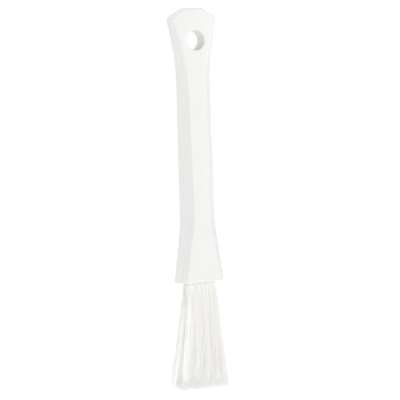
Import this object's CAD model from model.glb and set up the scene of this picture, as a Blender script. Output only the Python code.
"""The looks of a long-handled detail brush: a moulded handle, folded filaments, camera and studio.

Metres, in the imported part's frame: +Z up, the origin at the centre of the hanging hole, the
width along X and the front towards -Y. Sizes of the handle and the holes repeat the part's.
"""

import math

import bmesh
import bpy
import numpy as np
from mathutils import Matrix, Vector


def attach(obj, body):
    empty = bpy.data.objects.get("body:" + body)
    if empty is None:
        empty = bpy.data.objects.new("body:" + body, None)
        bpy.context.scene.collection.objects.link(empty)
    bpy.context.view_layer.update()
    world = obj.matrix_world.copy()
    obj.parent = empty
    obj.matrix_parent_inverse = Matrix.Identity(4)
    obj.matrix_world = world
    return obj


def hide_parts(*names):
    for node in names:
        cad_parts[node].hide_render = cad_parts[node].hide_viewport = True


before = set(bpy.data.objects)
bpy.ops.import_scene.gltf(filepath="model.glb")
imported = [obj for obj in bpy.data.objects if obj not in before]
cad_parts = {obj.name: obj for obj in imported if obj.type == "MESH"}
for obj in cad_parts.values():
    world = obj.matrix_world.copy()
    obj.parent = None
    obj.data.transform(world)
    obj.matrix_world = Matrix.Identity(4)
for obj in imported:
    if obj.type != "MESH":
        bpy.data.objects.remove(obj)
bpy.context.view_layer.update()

# Handle lengths, one after the other from the top edge down to the underside
CORNER_CUT_HEIGHT = 0.0050
SHOULDER_TO_HOLE = 0.0120
HOLE_TO_THROAT = 0.0110
THROAT_TO_NECK = 0.0130
NECK_TO_GRIP = 0.0400
GRIP_TO_PALM = 0.0320
PALM_TO_FLARE = 0.0170
FLARE_TO_UNDERSIDE = 0.0175

SHOULDER_Z = SHOULDER_TO_HOLE
TOP_Z = SHOULDER_Z + CORNER_CUT_HEIGHT
THROAT_Z = -HOLE_TO_THROAT
NECK_Z = THROAT_Z - THROAT_TO_NECK
GRIP_Z = NECK_Z - NECK_TO_GRIP
PALM_Z = GRIP_Z - GRIP_TO_PALM
FLARE_Z = PALM_Z - PALM_TO_FLARE
UNDERSIDE_Z = FLARE_Z - FLARE_TO_UNDERSIDE

# Sections of the handle from the underside up: the height and width of each, how far its
# slanting corner flats reach across and deep, and the radius of the creases beside them
HEIGHT, WIDTH, CORNER_ACROSS, CORNER_DEEP, CREASE_RADIUS = range(5)
SECTIONS = (
    (UNDERSIDE_Z, 0.0282, 0.0036, 0.0040, 0.0024),
    (FLARE_Z, 0.0232, 0.0040, 0.0044, 0.0004),
    (PALM_Z, 0.0195, 0.0050, 0.0045, 0.0004),
    (GRIP_Z, 0.0185, 0.0041, 0.0040, 0.0004),
    (NECK_Z, 0.0175, 0.0034, 0.0024, 0.0004),
    (THROAT_Z, 0.0191, 0.0031, 0.0020, 0.0024),
    (0.0, 0.0230, 0.0023, 0.0018, 0.0034),
    (SHOULDER_Z, 0.0264, 0.0009, 0.0006, 0.0012),
)
TOP_FLAT_WIDTH = 0.0100
TOP_DEPTH = 0.0079
HEAD_DEPTH = 0.0126

# Rounding: no corner takes more than a share of the flats beside it
SHOULDER_ROUNDING = 0.0006
TOP_EDGE_RADIUS = 0.0010
BOTTOM_EDGE_RADIUS = 0.0010
FLAT_SHARE = 0.45

# Hanging hole, whose rim is rounded outwards from the bore's wall
HANG_HOLE_DIAMETER = 0.0106
HANG_HOLE_RIM_RADIUS = 0.0006
HANG_HOLE_RIM_TURN = math.radians(80.0)

# Blind holes for the tufts, the outermost ones slanting the most
TUFT_HOLE_DIAMETER = 0.0030
TUFT_HOLE_DEPTH = 0.0100
TUFT_PITCH_ACROSS = 0.0037
TUFT_PITCH_DEEP = 0.0036
TUFT_COLUMNS = 5
TUFT_ROWS = 2
OUTER_SLANT_ACROSS = math.radians(3.7)
OUTER_SLANT_DEEP = math.radians(0.65)

# Wire anchors, as the part has them
ANCHOR_LENGTH = 0.0038
ANCHOR_HEIGHT = 0.0015
ANCHOR_THICKNESS = 0.0003
ANCHOR_FROM_HOLE_END = 0.0022
ANCHOR_TURN = math.radians(45.0)
ANCHOR_CLEARANCE = 0.00025

# Filaments, and the cut across their tips: slanted, a little crowned and not quite even
FILAMENT_DIAMETER = 0.00018
FILAMENT_END_SHARE = 0.55
FILAMENTS_A_TUFT = 95
HOLE_ROOM = 0.00003
BRISTLE_LENGTH = 0.0587
TIP_SLANT = 0.0008
TIP_CROWN = 0.0003
TRIM_SCATTER = 0.0009

# Spread of the bristles: each tuft's tips fill a rectangle that overlaps its neighbours', the
# legs spread soon below their hole but almost evenly on the whole pack's outside, the outer
# columns curl outwards, and the whole pack leans to the left
TIP_HALF_ACROSS = 0.0034
TIP_HALF_DEEP = 0.00245
TUFT_OVERLAP = 0.0012
SPREAD_POWER = 0.28
OUTER_SPREAD_POWER = 0.9
OUTWARD_CURL = 0.0025
TIP_LEAN = -0.0021

# Unevenness of the filaments: a slight wave, scattered tips and a few strays
WAVE_SIZE = 0.00022
WAVE_SIZE_SHARES = (0.3, 1.0)
WAVE_TURNS = (0.5, 1.3)
TIP_SCATTER = 0.0008
STRAY_SHARE = 0.03
STRAY_SCATTER = 0.0010
FIRST_SEED = 220

# Clumps: each tip is drawn a share of the way to the nearest of its tuft's clumps, which lie
# within CLUMP_REACH of the rectangle
CLUMPS_A_TUFT = 24
CLUMP_REACH = 0.9
CLUMP_SHARE = 0.10
CLUMP_PULL_SHARES = (0.5, 1.0)

# Loose left edge: most tips of the first column keep further in, and a few of its outer ones
# reach further out in tightly drawn wisps
LOOSE_COLUMN = 0
LOOSE_EDGE_SHARE = 0.22
WISP_SHARE = 0.14
WISP_CLUMP_SHARE = 0.85
WISP_REACH = 1.15

# Mesh fineness
RING_SPACING = 0.0010
EDGE_RINGS = 6
CREASE_POINTS = 6
FLAT_POINTS = 4
SHARP_ANGLE = math.radians(30.0)
HANG_HOLE_SIDES = 96
RIM_POINTS = 7
TUFT_HOLE_SIDES = 32
FILAMENT_SIDES = 5
LEG_STEPS = 11
STEP_CROWDING = 1.6
HOLE_STEPS = 2
FOLD_STEPS = 5
FLOOR_SIDES = 64
OVERRUN = 0.0020
GOLDEN_ANGLE = math.pi * (3.0 - math.sqrt(5.0))

# Materials: a pair holds the two ends of a range, and RAMP_ENDS are the values of a texture
# between which it changes a colour
WHITE = (1.0, 1.0, 1.0, 1.0)
RAMP_ENDS = (0.3, 0.7)
PLASTIC_TINTS = ((0.872, 0.867, 0.852), (0.888, 0.883, 0.870))
PLASTIC_ROUGHNESS = (0.34, 0.48)
PLASTIC_IOR = 1.49
PLASTIC_SCATTER_WEIGHT = 0.12
PLASTIC_SCATTER_RADIUS = (1.0, 0.95, 0.85)
PLASTIC_SCATTER_SCALE = 0.0025
FILAMENT_TINTS = ((0.945, 0.940, 0.918), (0.995, 0.990, 0.972))
FILAMENT_ROUGHNESS = (0.32, 0.50)
FILAMENT_IOR = 1.45
FILAMENT_CLEARNESS = 0.98
STEEL_TINTS = ((0.58, 0.58, 0.56), (0.68, 0.68, 0.66))
STEEL_ROUGHNESS = (0.22, 0.38)

# Textures: scale, detail, and for a stretched one how its scale changes along each axis
PLASTIC_TONES = (60.0, 3.0)
PLASTIC_PATCHES = (220.0, 4.0)
PLASTIC_GRAIN = (5200.0, 2.0)
PLASTIC_FLOW = (90.0, 2.0, (1.0, 1.0, 0.25))
FILAMENT_STREAKS = (900.0, 3.0, (1.0, 1.0, 0.02))
FILAMENT_RIPPLE = (4000.0, 2.0, (1.0, 1.0, 0.1))
STEEL_LINES = (6000.0, 3.0, (1.0, 1.0, 8.0))

# Relief that a texture gives a surface: its depth, and how strongly it shows
PLASTIC_GRAIN_RELIEF = (0.00002, 0.35)
PLASTIC_FLOW_RELIEF = (0.00012, 0.35)
FILAMENT_RIPPLE_RELIEF = (0.00001, 0.3)
STEEL_LINES_RELIEF = (0.000005, 0.4)

# Camera: the photograph is 400 pixels square, and the brush leans 1.8 degrees in it
PHOTO_SIDE = 400
FOCAL_PIXELS = 1400
CAMERA_AZIMUTH = math.radians(-27.0)
CAMERA_PITCH = math.radians(5.9)
CAMERA_ROLL = math.radians(1.8)
CAMERA_DISTANCE = 0.7590
CAMERA_CLIP_START = 0.01
SENSOR_MILLIMETRES = 36.0
AIM_POINT = Vector((0.0, 0.0, -0.0857))
AIM_PIXEL = (196.65, 199.34)

# Studio: the white world lights the brush less than it shows, and softboxes add the rest
WORLD_LIGHT = 0.12
WORLD_SHOWN = 1.0
# Name, azimuth and elevation in degrees, and power in watts of each softbox
SOFTBOXES = (
    ("front_softbox", -15.0, 10.0, 4.5),
    ("front_left_softbox", -60.0, 10.0, 3.6),
    ("left_softbox", -107.0, 10.0, 4.6),
    ("back_softbox", -135.0, 60.0, 4.0),
    ("right_softbox", 45.0, 10.0, 10.6),
    ("top_softbox", -135.0, 80.0, 9.5),
)
SOFTBOX_DISTANCE = 1.6
SOFTBOX_SIZE = 0.9

# Floor: it too shows brighter than it lights the brush
FLOOR_HEIGHT = -0.50
FLOOR_RADIUS = 6.0
FLOOR_GREY = (0.45, 0.45, 0.45, 1.0)
FLOOR_ROUGHNESS = 0.9
FLOOR_LIGHT = 0.64
FLOOR_SHOWN = 0.88


def add_object(name, data):
    """A new object with this mesh, light or camera data, placed in the scene."""
    added = bpy.data.objects.new(name, data)
    bpy.context.scene.collection.objects.link(added)
    return added


def make_camera():
    """A camera at the photograph's angle, placed so that AIM_POINT lands on AIM_PIXEL."""
    forward = Vector((
        -math.sin(CAMERA_AZIMUTH) * math.cos(CAMERA_PITCH),
        math.cos(CAMERA_AZIMUTH) * math.cos(CAMERA_PITCH),
        -math.sin(CAMERA_PITCH),
    ))
    level = Vector((math.cos(CAMERA_AZIMUTH), math.sin(CAMERA_AZIMUTH), 0.0))
    upright = level.cross(forward)
    right = level * math.cos(CAMERA_ROLL) - upright * math.sin(CAMERA_ROLL)
    up = level * math.sin(CAMERA_ROLL) + upright * math.cos(CAMERA_ROLL)
    metres_a_pixel = CAMERA_DISTANCE / FOCAL_PIXELS
    centre = PHOTO_SIDE / 2.0
    aim = AIM_POINT - right * (AIM_PIXEL[0] - centre) * metres_a_pixel
    aim += up * (AIM_PIXEL[1] - centre) * metres_a_pixel
    eye = aim - forward * CAMERA_DISTANCE
    data = bpy.data.cameras.new("camera")
    data.sensor_width = SENSOR_MILLIMETRES
    data.lens = FOCAL_PIXELS / PHOTO_SIDE * SENSOR_MILLIMETRES
    data.clip_start = CAMERA_CLIP_START
    camera = add_object("camera", data)
    turn = Matrix((right, up, -forward)).transposed().to_4x4()
    camera.matrix_world = Matrix.Translation(eye) @ turn
    bpy.context.scene.camera = camera


def section_slopes(column):
    """Slopes of a smooth curve through one column of SECTIONS that never overshoots it."""
    steps = [
        (upper[column] - lower[column]) / (upper[HEIGHT] - lower[HEIGHT])
        for lower, upper in zip(SECTIONS, SECTIONS[1:])
    ]
    slopes = [steps[0]]
    for before, after in zip(steps, steps[1:]):
        same_way = before * after > 0.0
        slopes.append(2.0 * before * after / (before + after) if same_way else 0.0)
    return slopes + [steps[-1]]


def section_value(column, z):
    """One column of SECTIONS, read from its smooth curve at height z."""
    z = min(max(z, SECTIONS[0][HEIGHT]), SECTIONS[-1][HEIGHT])
    slopes = section_slopes(column)
    for i, (lower, upper) in enumerate(zip(SECTIONS, SECTIONS[1:])):
        if z <= upper[HEIGHT]:
            span = upper[HEIGHT] - lower[HEIGHT]
            t = (z - lower[HEIGHT]) / span
            bend = t * t * (3.0 - 2.0 * t)
            start = slopes[i] * span * t * (1.0 - t) ** 2
            end = slopes[i + 1] * span * t * t * (1.0 - t)
            return lower[column] + (upper[column] - lower[column]) * bend + start - end
    return SECTIONS[-1][column]


def width_at(z):
    """Full width at height z, with the two upper corners cut and their tops rounded."""
    side = section_value(WIDTH, z)
    if z > SHOULDER_Z:
        side += section_slopes(WIDTH)[-1] * (z - SHOULDER_Z)
    run = (SECTIONS[-1][WIDTH] - TOP_FLAT_WIDTH) / CORNER_CUT_HEIGHT
    cut_line = TOP_FLAT_WIDTH + run * (TOP_Z - z)
    least = min(side, cut_line)
    rounding = 2.0 * SHOULDER_ROUNDING
    return least - rounding * math.log1p(math.exp(-abs(side - cut_line) / rounding))


def depth_at(z):
    """Full depth at height z: an even taper above the grip, and the head's depth below it."""
    share = max(0.0, (z - GRIP_Z) / (TOP_Z - GRIP_Z))
    return HEAD_DEPTH + (TOP_DEPTH - HEAD_DEPTH) * share


def handle_ring(z, inset=0.0):
    """The handle's outline at height z: a rectangle with its corners cut and creases rounded.

    An inset moves every flat inwards by the same distance, which shortens the corner flats too.
    """
    half_width = width_at(z) / 2.0 - inset
    half_depth = depth_at(z) / 2.0 - inset
    across, deep = section_value(CORNER_ACROSS, z), section_value(CORNER_DEEP, z)
    spare = across + deep - math.hypot(across, deep)
    across, deep = across - inset * spare / deep, deep - inset * spare / across
    across = min(across, 2.0 * FLAT_SHARE * half_width)
    deep = min(deep, 2.0 * FLAT_SHARE * half_depth)
    quarter = [(half_width, half_depth - deep), (half_width - across, half_depth)]
    corners = []
    for sign_x, sign_y in ((1, 1), (-1, 1), (-1, -1), (1, -1)):
        turned = [(sign_x * x, sign_y * y) for x, y in quarter]
        corners += turned if sign_x == sign_y else turned[::-1]
    outline = round_corners(corners, section_value(CREASE_RADIUS, z))
    return [Vector((x, y, z)) for x, y in outline]


def round_corners(corners, radius):
    """The outline through these corners, with every corner rounded and every flat divided."""
    count = len(corners)
    spots = [Vector(corner) for corner in corners]
    flats = [(spots[(i + 1) % count] - spots[i]).length for i in range(count)]
    arcs = []
    for i, spot in enumerate(spots):
        before = (spots[i - 1] - spot).normalized()
        after = (spots[(i + 1) % count] - spot).normalized()
        half_turn = (math.pi - before.angle(after)) / 2.0
        reach = min(radius * math.tan(half_turn), FLAT_SHARE * min(flats[i - 1], flats[i]))
        bend = reach / math.tan(half_turn)
        centre = spot + (before + after).normalized() * (bend / math.cos(half_turn))
        start, end = spot + before * reach - centre, spot + after * reach - centre
        turn = math.atan2(start.cross(end), start.dot(end))
        steps = [turn * step / (CREASE_POINTS - 1) for step in range(CREASE_POINTS)]
        arcs.append([centre + Matrix.Rotation(angle, 2) @ start for angle in steps])
    points = []
    for arc, following in zip(arcs, arcs[1:] + arcs[:1]):
        points += arc
        for step in range(1, FLAT_POINTS):
            points.append(arc[-1].lerp(following[0], step / FLAT_POINTS))
    return points


def handle_rings():
    """Every outline of the handle, from the underside up to the top edge."""
    rings = []
    quarter = [step / EDGE_RINGS * math.pi / 2.0 for step in range(EDGE_RINGS + 1)]
    for angle in quarter[:0:-1]:
        rise = BOTTOM_EDGE_RADIUS * (1.0 - math.sin(angle))
        rings.append(handle_ring(UNDERSIDE_Z + rise, BOTTOM_EDGE_RADIUS * (1.0 - math.cos(angle))))
    start, end = UNDERSIDE_Z + BOTTOM_EDGE_RADIUS, TOP_Z - TOP_EDGE_RADIUS
    count = math.ceil((end - start) / RING_SPACING)
    rings += [handle_ring(start + (end - start) * step / count) for step in range(count)]
    for angle in quarter:
        rise = TOP_EDGE_RADIUS * math.sin(angle)
        rings.append(handle_ring(end + rise, TOP_EDGE_RADIUS * (1.0 - math.cos(angle))))
    return rings


def loft(rings):
    """A closed shape through outlines of equal point count, with a flat face at each end."""
    shape = bmesh.new()
    rows = [[shape.verts.new(point) for point in ring] for ring in rings]
    count = len(rows[0])
    for lower, upper in zip(rows, rows[1:]):
        for i in range(count):
            j = (i + 1) % count
            shape.faces.new((lower[i], lower[j], upper[j], upper[i]))
    shape.faces.new(rows[0][::-1])
    shape.faces.new(rows[-1])
    bmesh.ops.recalc_face_normals(shape, faces=shape.faces)
    return shape


def piece_from(shape, name):
    """A piece whose mesh is this shape."""
    mesh = bpy.data.meshes.new(name)
    shape.to_mesh(mesh)
    shape.free()
    return add_object(name, mesh)


def hole_shares(column, row):
    """Where a hole lies from the middle to the outermost, from -1 to 1 each way."""
    half_columns = (TUFT_COLUMNS - 1) / 2.0
    half_rows = (TUFT_ROWS - 1) / 2.0
    return (column - half_columns) / half_columns, (row - half_rows) / half_rows


def hole_frame(column, row):
    """The frame of one tuft hole: its mouth's centre on the underside, -Z the way it points."""
    across, deep = hole_shares(column, row)
    points_to = Vector((
        math.tan(OUTER_SLANT_ACROSS * across),
        math.tan(OUTER_SLANT_DEEP * deep),
        -1.0,
    ))
    turn = Vector((0.0, 0.0, -1.0)).rotation_difference(points_to).to_matrix().to_4x4()
    half_across = (TUFT_COLUMNS - 1) / 2.0 * TUFT_PITCH_ACROSS
    half_deep = (TUFT_ROWS - 1) / 2.0 * TUFT_PITCH_DEEP
    mouth = Vector((across * half_across, deep * half_deep, UNDERSIDE_Z))
    return Matrix.Translation(mouth) @ turn


def every_hole():
    """Column, row and a plain name for each tuft hole, the front row first."""
    for row in range(TUFT_ROWS):
        side = "front" if row == 0 else "back"
        for column in range(TUFT_COLUMNS):
            yield column, row, f"{side}_{column + 1}"


def hang_hole_ring(radius, beyond, side):
    """A ring on the bore's wall or rim, equally far beyond the sloping front or back all round."""
    points = []
    for i in range(HANG_HOLE_SIDES):
        angle = 2.0 * math.pi * i / HANG_HOLE_SIDES
        z = radius * math.sin(angle)
        y = side * (depth_at(z) / 2.0 + beyond)
        points.append(Vector((radius * math.cos(angle), y, z)))
    return points


def hang_hole_cutter():
    """A bore through the handle, its rim rounded where it meets the front and the back."""
    bore = HANG_HOLE_DIAMETER / 2.0
    profile = []
    for step in range(RIM_POINTS):
        angle = HANG_HOLE_RIM_TURN * step / (RIM_POINTS - 1)
        radius = bore + HANG_HOLE_RIM_RADIUS * (1.0 - math.cos(angle))
        profile.append((radius, HANG_HOLE_RIM_RADIUS * (math.sin(angle) - 1.0)))
    radius, beyond = profile[-1]
    radius += OVERRUN * math.sin(HANG_HOLE_RIM_TURN)
    beyond += OVERRUN * math.cos(HANG_HOLE_RIM_TURN)
    profile.append((radius, beyond))
    rings = [hang_hole_ring(radius, beyond, 1.0) for radius, beyond in reversed(profile)]
    rings += [hang_hole_ring(radius, beyond, -1.0) for radius, beyond in profile]
    return piece_from(loft(rings), "hang_hole_cutter")


def tuft_hole_cutter():
    """Every tuft hole, as one piece."""
    shape = bmesh.new()
    for column, row, _ in every_hole():
        hole = hole_frame(column, row)
        bmesh.ops.create_cone(
            shape,
            cap_ends=True,
            segments=TUFT_HOLE_SIDES,
            radius1=TUFT_HOLE_DIAMETER / 2.0,
            radius2=TUFT_HOLE_DIAMETER / 2.0,
            depth=TUFT_HOLE_DEPTH + OVERRUN,
            matrix=hole @ Matrix.Translation((0.0, 0.0, (TUFT_HOLE_DEPTH - OVERRUN) / 2.0)),
        )
    return piece_from(shape, "tuft_hole_cutter")


def anchor_slot_cutter():
    """The room that each anchor takes across its hole, as one piece."""
    shape = bmesh.new()
    room = 2.0 * ANCHOR_CLEARANCE
    size = (ANCHOR_LENGTH + room, ANCHOR_THICKNESS + room, ANCHOR_HEIGHT + room, 1.0)
    for column, row, _ in every_hole():
        hole = hole_frame(column, row)
        up = Matrix.Translation((0.0, 0.0, TUFT_HOLE_DEPTH - ANCHOR_FROM_HOLE_END))
        turn = Matrix.Rotation(ANCHOR_TURN, 4, "Z")
        bmesh.ops.create_cube(shape, size=1.0, matrix=hole @ up @ turn @ Matrix.Diagonal(size))
    return piece_from(shape, "anchor_slot_cutter")


def apply_modifiers(piece):
    """Makes the piece's mesh what its modifiers show."""
    graph = bpy.context.evaluated_depsgraph_get()
    finished = bpy.data.meshes.new_from_object(piece.evaluated_get(graph))
    piece.modifiers.clear()
    old = piece.data
    piece.data = finished
    bpy.data.meshes.remove(old)


def make_handle():
    """The moulded handle with a fine surface, cut as the part is cut."""
    handle = piece_from(loft(handle_rings()), "handle_moulding")
    cutters = [hang_hole_cutter(), tuft_hole_cutter(), anchor_slot_cutter()]
    for cutter in cutters:
        modifier = handle.modifiers.new(cutter.name, "BOOLEAN")
        modifier.operation = "DIFFERENCE"
        modifier.solver = "EXACT"
        modifier.object = cutter
    apply_modifiers(handle)
    for cutter in cutters:
        bpy.data.objects.remove(cutter, do_unlink=True)
    handle.data.shade_smooth()
    handle.data.set_sharp_from_angle(angle=SHARP_ANGLE)
    handle.data.materials.append(plastic_material())
    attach(handle, "root")
    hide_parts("handle")


def not_outermost(place, shares):
    """For each axis, whether a place in its tuft isn't on the whole pack's outside."""
    return place * shares < np.abs(place)


def leg_path(root, hole, shares, tip_place, drop, wave):
    """One leg of a filament from the mouth of its hole down to its tip.

    It follows its tuft's axis, spreads from its root to its tip place, and sways a little.
    """
    across, deep = shares
    mouth = hole.translation
    steps = np.linspace(0.0, 1.0, LEG_STEPS + 1)[:, None] ** STEP_CROWDING
    fall = drop * steps
    axis_x = fall * math.tan(OUTER_SLANT_ACROSS * across) + OUTWARD_CURL * across * steps**2
    axis_x += TIP_LEAN * steps
    axis_y = fall * math.tan(OUTER_SLANT_DEEP * deep)
    powers = np.where(not_outermost(tip_place, shares), SPREAD_POWER, OUTER_SPREAD_POWER)
    spread = steps ** powers[None, :]
    local = root[None, :] * (1.0 - spread) + tip_place[None, :] * spread
    size, turns, phase, heading = wave
    sway = size * steps * np.sin(2.0 * math.pi * turns * steps + phase)
    x = mouth.x + axis_x[:, 0] + local[:, 0] + sway[:, 0] * math.cos(heading)
    y = mouth.y + axis_y[:, 0] + local[:, 1] + sway[:, 0] * math.sin(heading)
    z = UNDERSIDE_Z - fall[:, 0]
    return np.stack([x, y, z], axis=1)


def fold_path(hole, at_mouth, at_anchor):
    """The stretch of a filament inside its hole: up one side of the anchor, over and down."""
    (near_mouth, far_mouth), (near, far) = at_mouth, at_anchor
    anchor_top = TUFT_HOLE_DEPTH - ANCHOR_FROM_HOLE_END + ANCHOR_HEIGHT / 2.0
    centre_up = anchor_top - ANCHOR_THICKNESS / 2.0
    middle, half = (near + far) / 2.0, (near - far) / 2.0
    shares = [(step + 1) / (HOLE_STEPS + 1) for step in range(HOLE_STEPS)]
    points = []
    for share in shares:
        x, y = near_mouth * (1.0 - share) + near * share
        points.append((x, y, centre_up * share))
    for step in range(FOLD_STEPS + 1):
        angle = math.pi * step / FOLD_STEPS
        x, y = middle + half * math.cos(angle)
        points.append((x, y, centre_up + np.linalg.norm(half) * math.sin(angle)))
    for share in reversed(shares):
        x, y = far_mouth * (1.0 - share) + far * share
        points.append((x, y, centre_up * share))
    return np.array([hole @ Vector(point) for point in points])


def square_place(spot):
    """Where a spot of the unit disc goes in a square, so that an even filling stays even."""
    reach = float(np.linalg.norm(spot))
    longer = int(abs(spot[1]) > abs(spot[0]))
    turn = math.atan2(spot[1 - longer], abs(spot[longer]))
    place = np.zeros(2)
    place[longer] = math.copysign(reach, spot[longer])
    place[1 - longer] = reach * turn / (math.pi / 4.0)
    return place


def tip_place_of(root_share, shares, clumps, loose, chance):
    """Where a leg ends in its tuft's tip rectangle, drawn towards its nearest clump."""
    squared = square_place(root_share)
    nearest = clumps[np.argmin(np.linalg.norm(clumps - squared, axis=1))]
    wisp = loose and squared[0] * shares[0] > 0.0 and chance.random() < WISP_SHARE
    clump_share = WISP_CLUMP_SHARE if wisp else CLUMP_SHARE
    squared = squared + (nearest - squared) * clump_share * chance.uniform(*CLUMP_PULL_SHARES)
    if wisp:
        squared[0] *= WISP_REACH
    elif loose:
        squared[0] = LOOSE_EDGE_SHARE + (1.0 - LOOSE_EDGE_SHARE) * (squared[0] + 1.0) / 2.0
    scatter = STRAY_SCATTER if chance.random() < STRAY_SHARE else TIP_SCATTER
    overlap = np.where(not_outermost(squared, shares), TUFT_OVERLAP, 0.0)
    half = np.array([TIP_HALF_ACROSS, TIP_HALF_DEEP]) + overlap
    return squared * half + chance.uniform(-scatter, scatter, 2)


def leg_places(number, room):
    """Where a filament's two legs pass the mouth of its hole, and where they pass its anchor.

    All the legs together fill the mouth evenly, and each filament has one on each side.
    """
    turn = np.array([
        [math.cos(ANCHOR_TURN), -math.sin(ANCHOR_TURN)],
        [math.sin(ANCHOR_TURN), math.cos(ANCHOR_TURN)],
    ])
    distance = room * math.sqrt((number + 0.5) / FILAMENTS_A_TUFT)
    angle = (number * GOLDEN_ANGLE) % (2.0 * math.pi) / 2.0
    along, beside = distance * math.cos(angle), distance * math.sin(angle)
    at_mouth = turn @ np.array([along, beside]), turn @ np.array([along, -beside])
    beside = max(beside, ANCHOR_THICKNESS / 2.0 + FILAMENT_DIAMETER)
    along = math.copysign(min(abs(along), math.sqrt(max(room**2 - beside**2, 0.0))), along)
    at_anchor = turn @ np.array([along, beside]), turn @ np.array([along, -beside])
    return at_mouth, at_anchor


def wave_of(chance):
    """Size, number of turns, phase and heading of one leg's wave."""
    return (
        WAVE_SIZE * chance.uniform(*WAVE_SIZE_SHARES),
        chance.uniform(*WAVE_TURNS),
        chance.uniform(0.0, 2.0 * math.pi),
        chance.uniform(0.0, 2.0 * math.pi),
    )


def tuft_paths(column, row, chance):
    """Centre lines of every filament of one tuft, tip to tip over the anchor."""
    hole = hole_frame(column, row)
    shares = np.array(hole_shares(column, row))
    room = TUFT_HOLE_DIAMETER / 2.0 - FILAMENT_DIAMETER / 2.0 - HOLE_ROOM
    loose = column == LOOSE_COLUMN
    clumps = chance.uniform(-CLUMP_REACH, CLUMP_REACH, (CLUMPS_A_TUFT, 2))
    paths = []
    for number in range(FILAMENTS_A_TUFT):
        at_mouth, at_anchor = leg_places(number, room)
        legs = []
        for root in at_mouth:
            drop = BRISTLE_LENGTH + chance.uniform(-TRIM_SCATTER, TRIM_SCATTER)
            tip = tip_place_of(root / room, shares, clumps, loose, chance)
            edge = shares[0] + tip[0] / TIP_HALF_ACROSS / TUFT_COLUMNS
            drop += TIP_SLANT * edge - TIP_CROWN * edge * edge
            legs.append(leg_path(root, hole, shares, tip, drop, wave_of(chance)))
        fold = fold_path(hole, at_mouth, at_anchor)
        paths.append(np.concatenate([legs[0][::-1], fold, legs[1]]))
    return np.array(paths)


def tubes(paths, radius, sides):
    """Points and faces of a thin closed tube along every path, narrower at its ends.

    Each tube's sideways direction is carried from point to point, so that the tube doesn't twist.
    """
    count, steps, _ = paths.shape
    along = np.gradient(paths, axis=1)
    along /= np.linalg.norm(along, axis=2, keepdims=True)
    side = np.zeros((count, steps, 3))
    current = np.tile([1.0, 0.0, 0.0], (count, 1))
    for step in range(steps):
        direction = along[:, step]
        current = current - (current * direction).sum(1, keepdims=True) * direction
        current /= np.linalg.norm(current, axis=1, keepdims=True)
        side[:, step] = current
    other = np.cross(along, side)
    radii = np.full(steps, radius)
    radii[[0, -1]] = radius * FILAMENT_END_SHARE
    angles = 2.0 * math.pi * np.arange(sides) / sides
    ring = np.cos(angles)[:, None] * side[:, :, None] + np.sin(angles)[:, None] * other[:, :, None]
    points = paths[:, :, None] + ring * radii[None, :, None, None]
    first = np.arange(count)[:, None, None] * steps * sides
    base = first + np.arange(steps - 1)[None, :, None] * sides
    i = np.arange(sides)[None, None, :]
    j = (i + 1) % sides
    quads = np.stack([base + i, base + j, base + sides + j, base + sides + i], axis=3)
    starts = first[:, 0] + np.arange(sides)[::-1]
    ends = first[:, 0] + (steps - 1) * sides + np.arange(sides)
    return points.reshape(-1, 3), quads.reshape(-1, 4), np.concatenate([starts, ends])


def make_filaments():
    """One piece of folded filaments for each tuft."""
    material = filament_material()
    for number, (column, row, name) in enumerate(every_hole()):
        chance = np.random.default_rng(FIRST_SEED + number)
        paths = tuft_paths(column, row, chance)
        points, quads, caps = tubes(paths, FILAMENT_DIAMETER / 2.0, FILAMENT_SIDES)
        mesh = bpy.data.meshes.new(f"filaments_{name}")
        mesh.from_pydata(points.tolist(), [], quads.tolist() + caps.tolist())
        mesh.validate()
        mesh.shade_smooth()
        mesh.materials.append(material)
        piece = add_object(f"filaments_{name}", mesh)
        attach(piece, "root")
        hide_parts(f"tuft_{name}")


def new_material(name):
    """A material with its node tree and its shader, ready for more nodes."""
    made = bpy.data.materials.new(name)
    made.use_nodes = True
    return made, made.node_tree, made.node_tree.nodes["Principled BSDF"]


def noise(tree, scale, detail, axis_scales=(1.0, 1.0, 1.0)):
    """A noise texture in object space, whose scale can be smaller or larger along an axis."""
    place = tree.nodes.new("ShaderNodeTexCoord")
    mapping = tree.nodes.new("ShaderNodeMapping")
    mapping.inputs["Scale"].default_value = axis_scales
    texture = tree.nodes.new("ShaderNodeTexNoise")
    texture.inputs["Scale"].default_value = scale
    texture.inputs["Detail"].default_value = detail
    tree.links.new(place.outputs["Object"], mapping.inputs["Vector"])
    tree.links.new(mapping.outputs["Vector"], texture.inputs["Vector"])
    return texture.outputs["Fac"]


def ramp(tree, source, low, high):
    """Maps a texture to a colour between low and high."""
    made = tree.nodes.new("ShaderNodeValToRGB")
    for element, position, colour in zip(made.color_ramp.elements, RAMP_ENDS, (low, high)):
        element.position = position
        element.color = (*colour, 1.0)
    tree.links.new(source, made.inputs["Fac"])
    return made.outputs["Color"]


def value_range(tree, source, low, high):
    """Maps a value from between 0 and 1 to between low and high."""
    made = tree.nodes.new("ShaderNodeMapRange")
    made.inputs["To Min"].default_value = low
    made.inputs["To Max"].default_value = high
    tree.links.new(source, made.inputs["Value"])
    return made.outputs["Result"]


def bump(tree, height, distance, strength, under=None):
    """A normal that follows this height, on top of the normal under it if there is one."""
    made = tree.nodes.new("ShaderNodeBump")
    made.inputs["Distance"].default_value = distance
    made.inputs["Strength"].default_value = strength
    tree.links.new(height, made.inputs["Height"])
    if under is not None:
        tree.links.new(under, made.inputs["Normal"])
    return made.outputs["Normal"]


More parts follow.
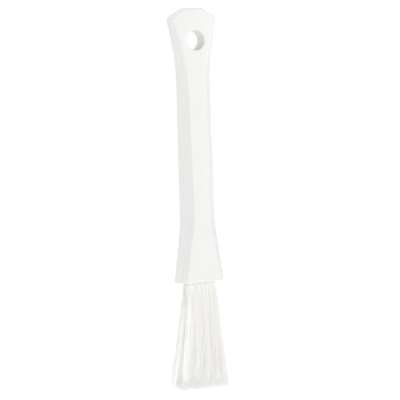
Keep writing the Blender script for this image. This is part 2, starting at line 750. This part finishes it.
def plastic_material():
    """White moulded polypropylene: a satin face with a fine spark-eroded grain."""
    made, tree, shader = new_material("white_moulded_plastic")
    tones = noise(tree, *PLASTIC_TONES)
    tree.links.new(ramp(tree, tones, *PLASTIC_TINTS), shader.inputs["Base Color"])
    patches = noise(tree, *PLASTIC_PATCHES)
    tree.links.new(value_range(tree, patches, *PLASTIC_ROUGHNESS), shader.inputs["Roughness"])
    grain = bump(tree, noise(tree, *PLASTIC_GRAIN), *PLASTIC_GRAIN_RELIEF)
    flow = bump(tree, noise(tree, *PLASTIC_FLOW), *PLASTIC_FLOW_RELIEF, under=grain)
    tree.links.new(flow, shader.inputs["Normal"])
    shader.inputs["IOR"].default_value = PLASTIC_IOR
    shader.inputs["Subsurface Weight"].default_value = PLASTIC_SCATTER_WEIGHT
    shader.inputs["Subsurface Radius"].default_value = PLASTIC_SCATTER_RADIUS
    shader.inputs["Subsurface Scale"].default_value = PLASTIC_SCATTER_SCALE
    return made


def filament_material():
    """Off-white polyester filament with fine streaks, which lets most of its light through."""
    made, tree, shader = new_material("off_white_filament")
    streaks = noise(tree, *FILAMENT_STREAKS)
    tree.links.new(ramp(tree, streaks, *FILAMENT_TINTS), shader.inputs["Base Color"])
    tree.links.new(value_range(tree, streaks, *FILAMENT_ROUGHNESS), shader.inputs["Roughness"])
    ripple = bump(tree, noise(tree, *FILAMENT_RIPPLE), *FILAMENT_RIPPLE_RELIEF)
    tree.links.new(ripple, shader.inputs["Normal"])
    shader.inputs["IOR"].default_value = FILAMENT_IOR
    path = tree.nodes.new("ShaderNodeLightPath")
    clear = tree.nodes.new("ShaderNodeBsdfTransparent")
    mix = tree.nodes.new("ShaderNodeMixShader")
    share = value_range(tree, path.outputs["Is Shadow Ray"], 0.0, FILAMENT_CLEARNESS)
    tree.links.new(share, mix.inputs["Fac"])
    tree.links.new(shader.outputs["BSDF"], mix.inputs[1])
    tree.links.new(clear.outputs["BSDF"], mix.inputs[2])
    tree.links.new(mix.outputs["Shader"], tree.nodes["Material Output"].inputs["Surface"])
    return made


def steel_material():
    """Drawn stainless wire rolled flat, with fine lines along it."""
    made, tree, shader = new_material("stainless_wire_drawn")
    lines = noise(tree, *STEEL_LINES)
    tree.links.new(ramp(tree, lines, *STEEL_TINTS), shader.inputs["Base Color"])
    tree.links.new(value_range(tree, lines, *STEEL_ROUGHNESS), shader.inputs["Roughness"])
    tree.links.new(bump(tree, lines, *STEEL_LINES_RELIEF), shader.inputs["Normal"])
    shader.inputs["Metallic"].default_value = 1.0
    return made


def dress_anchors():
    """Steel for the part's own anchors, which stay as they are."""
    steel = steel_material()
    for name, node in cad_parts.items():
        if name.startswith("anchor_"):
            node.data.materials.clear()
            node.data.materials.append(steel)


def seen_directly(tree):
    """1 for what the camera, a reflection or a transmitted ray sees, and 0 for other rays."""
    path = tree.nodes.new("ShaderNodeLightPath")
    total = path.outputs["Is Camera Ray"]
    for name in ("Is Glossy Ray", "Is Transmission Ray"):
        more = tree.nodes.new("ShaderNodeMath")
        more.operation = "MAXIMUM"
        tree.links.new(total, more.inputs[0])
        tree.links.new(path.outputs[name], more.inputs[1])
        total = more.outputs[0]
    return total


def make_world():
    """A white world that lights the brush less than it shows."""
    world = bpy.data.worlds.new("studio")
    world.use_nodes = True
    tree = world.node_tree
    background = tree.nodes["Background"]
    background.inputs["Color"].default_value = WHITE
    strength = value_range(tree, seen_directly(tree), WORLD_LIGHT, WORLD_SHOWN)
    tree.links.new(strength, background.inputs["Strength"])
    bpy.context.scene.world = world


def make_floor():
    """A pale floor well below the hanging brush, which keeps the brush's soft shadow."""
    shape = bmesh.new()
    bmesh.ops.create_circle(shape, cap_ends=True, segments=FLOOR_SIDES, radius=FLOOR_RADIUS)
    floor = piece_from(shape, "floor")
    floor.location.z = FLOOR_HEIGHT
    made, tree, shader = new_material("pale_floor")
    shader.inputs["Base Color"].default_value = FLOOR_GREY
    shader.inputs["Roughness"].default_value = FLOOR_ROUGHNESS
    shader.inputs["Emission Color"].default_value = WHITE
    glow = value_range(tree, seen_directly(tree), FLOOR_LIGHT, FLOOR_SHOWN)
    tree.links.new(glow, shader.inputs["Emission Strength"])
    floor.data.materials.append(made)


def make_softbox(name, azimuth, elevation, power):
    """A square softbox that looks at the middle of the brush, its angles in degrees."""
    data = bpy.data.lights.new(name, "AREA")
    data.shape = "SQUARE"
    data.size = SOFTBOX_SIZE
    data.energy = power
    softbox = add_object(name, data)
    azimuth, elevation = math.radians(azimuth), math.radians(elevation)
    away = Vector((
        math.sin(azimuth) * math.cos(elevation),
        -math.cos(azimuth) * math.cos(elevation),
        math.sin(elevation),
    ))
    softbox.location = AIM_POINT + away * SOFTBOX_DISTANCE
    softbox.rotation_euler = (-away).to_track_quat("-Z", "Y").to_euler()


def make_studio():
    """The world, the floor and the softboxes, in plain colours."""
    make_world()
    make_floor()
    for softbox in SOFTBOXES:
        make_softbox(*softbox)
    bpy.context.scene.view_settings.view_transform = "Standard"


make_camera()
make_handle()
make_filaments()
dress_anchors()
make_studio()
